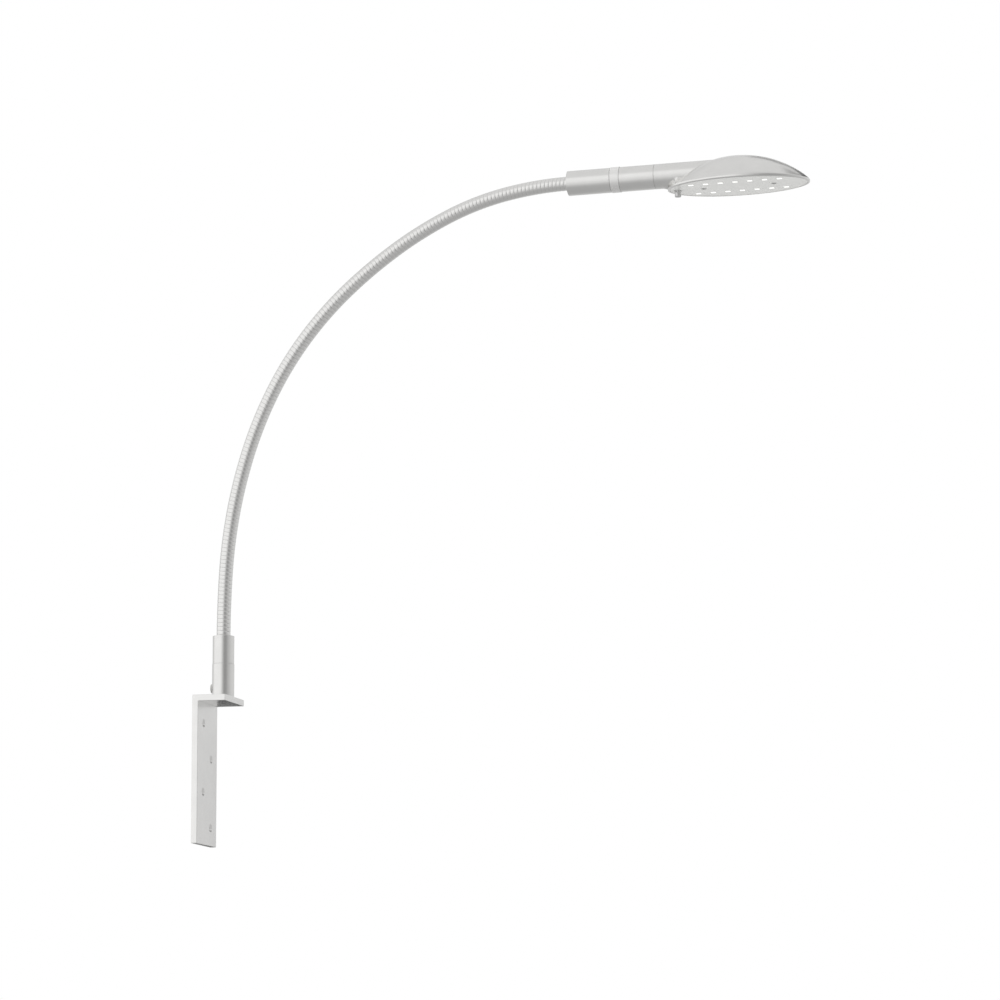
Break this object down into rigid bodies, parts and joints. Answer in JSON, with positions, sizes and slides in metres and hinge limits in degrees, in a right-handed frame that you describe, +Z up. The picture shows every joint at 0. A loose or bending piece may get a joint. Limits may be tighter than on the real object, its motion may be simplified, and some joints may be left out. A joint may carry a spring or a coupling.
{
  "type": "furniture light",
  "caption": "Furniture light: a bent flat wall bracket carries a turning tube, a long ribbed flexible arm and an oval dome head with diodes and a push button in its flat face.",
  "frame": {"origin": "middle of the back face of the bracket's upright, where it meets the wall", "axes": "+X out from the wall, the way the arm reaches; +Y across the bracket, to the right of someone who faces the wall and away from the picture's camera; +Z up"},
  "size_m": [0.5891, 0.081, 0.6362],
  "materials": {
    "bar_aluminium": "satin",
    "tube_aluminium": "satin",
    "ring_aluminium": "matt",
    "cast_aluminium": "satin",
    "hose_steel": "satin",
    "steel": "plain",
    "spring_steel": "bright",
    "brass": "turned",
    "chrome": "polished",
    "plate_paint": "semi-gloss",
    "diode_lens": "milky",
    "board_white": "matt",
    "board_green": "matt",
    "white_plastic": "matt",
    "black_plastic": "matt",
    "bush_plastic": "matt",
    "lead_sheath": "matt",
    "core_sheath": "matt"
  },
  "bodies": {
    "wall_bracket": {"bracket": "bar_aluminium", "base_socket": "tube_aluminium", "base_plug": "steel", "base_screw": "steel", "cable_bush": "bush_plastic", "base_washer": "white_plastic"},
    "arm_1": {"base_sleeve": "tube_aluminium", "base_spindle": "brass", "lower_ferrule": "steel", "base_lead": "lead_sheath", "hose_1": "hose_steel", "lead_1": "lead_sheath"},
    "arm_2": {"hose_2": "hose_steel", "lead_2": "lead_sheath"},
    "arm_3": {"hose_3": "hose_steel", "lead_3": "lead_sheath"},
    "arm_4": {"hose_4": "hose_steel", "lead_4": "lead_sheath"},
    "arm_5": {"hose_5": "hose_steel", "lead_5": "lead_sheath"},
    "arm_6": {"hose_6": "hose_steel", "lead_6": "lead_sheath"},
    "arm_7": {"hose_7": "hose_steel", "lead_7": "lead_sheath"},
    "arm_8": {"hose_8": "hose_steel", "lead_8": "lead_sheath"},
    "arm_9": {"hose_9": "hose_steel", "lead_9": "lead_sheath"},
    "arm_10": {"hose_10": "hose_steel", "lead_10": "lead_sheath", "upper_ferrule": "steel", "sleeve_lead": "lead_sheath", "head_sleeve": "tube_aluminium", "head_washer": "white_plastic"},
    "lamp_head": {"swivel_ring": "ring_aluminium", "head_tube": "tube_aluminium", "head_spindle": "brass", "head_housing": "cast_aluminium", "led_board": "board_white", "leds": "diode_lens", "cover_plate": "plate_paint", "plate_screws": "steel", "driver_board": "board_green", "head_cable": "lead_sheath", "core_wires": "core_sheath", "switch_body": "black_plastic", "switch_spring": "spring_steel"},
    "button": {"push_button": "chrome"}
  },
  "joints": [
    {"name": "base_swivel", "type": "hinge", "parent": "wall_bracket", "child": "arm_1", "pos_m": [0.021, 0, 0.1015], "axis": [0, 0, 1], "range_deg": [-170, 170]},
    {"name": "arm_bend_1", "type": "hinge", "parent": "arm_1", "child": "arm_2", "pos_m": [0.02273, 0, 0.18832], "axis": [0, 1, 0], "range_deg": [-20, 20]},
    {"name": "arm_sway_2", "type": "hinge", "parent": "arm_2", "child": "arm_3", "pos_m": [0.02999, 0, 0.24809], "axis": [0.9831, 0, -0.1831], "range_deg": [-20, 20]},
    {"name": "arm_bend_3", "type": "hinge", "parent": "arm_3", "child": "arm_4", "pos_m": [0.04492, 0, 0.30641], "axis": [0, 1, 0], "range_deg": [-20, 20]},
    {"name": "arm_sway_4", "type": "hinge", "parent": "arm_4", "child": "arm_5", "pos_m": [0.06821, 0, 0.36191], "axis": [0.8878, 0, -0.4602], "range_deg": [-20, 20]},
    {"name": "arm_bend_5", "type": "hinge", "parent": "arm_5", "child": "arm_6", "pos_m": [0.10063, 0, 0.41259], "axis": [0, 1, 0], "range_deg": [-20, 20]},
    {"name": "arm_sway_6", "type": "hinge", "parent": "arm_6", "child": "arm_7", "pos_m": [0.14161, 0, 0.45665], "axis": [0.6685, 0, -0.7437], "range_deg": [-20, 20]},
    {"name": "arm_bend_7", "type": "hinge", "parent": "arm_7", "child": "arm_8", "pos_m": [0.18902, 0, 0.49376], "axis": [0, 1, 0], "range_deg": [-20, 20]},
    {"name": "arm_sway_8", "type": "hinge", "parent": "arm_8", "child": "arm_9", "pos_m": [0.24139, 0, 0.52342], "axis": [0.421, 0, -0.907], "range_deg": [-20, 20]},
    {"name": "arm_bend_9", "type": "hinge", "parent": "arm_9", "child": "arm_10", "pos_m": [0.29846, 0, 0.5423], "axis": [0, 1, 0], "range_deg": [-20, 20]},
    {"name": "head_swivel", "type": "hinge", "parent": "arm_10", "child": "lamp_head", "pos_m": [0.39993, 0, 0.55018], "axis": [0.9997, 0, 0.0244], "range_deg": [-170, 170]},
    {"name": "button_press", "type": "slide", "parent": "lamp_head", "child": "button", "axis": [-0.0244, 0, 0.9997], "range_m": [0, 0.0012], "stiffness_N_per_m": 900, "springref_m": -0.0006, "deforming": ["switch_spring"]}
  ]
}
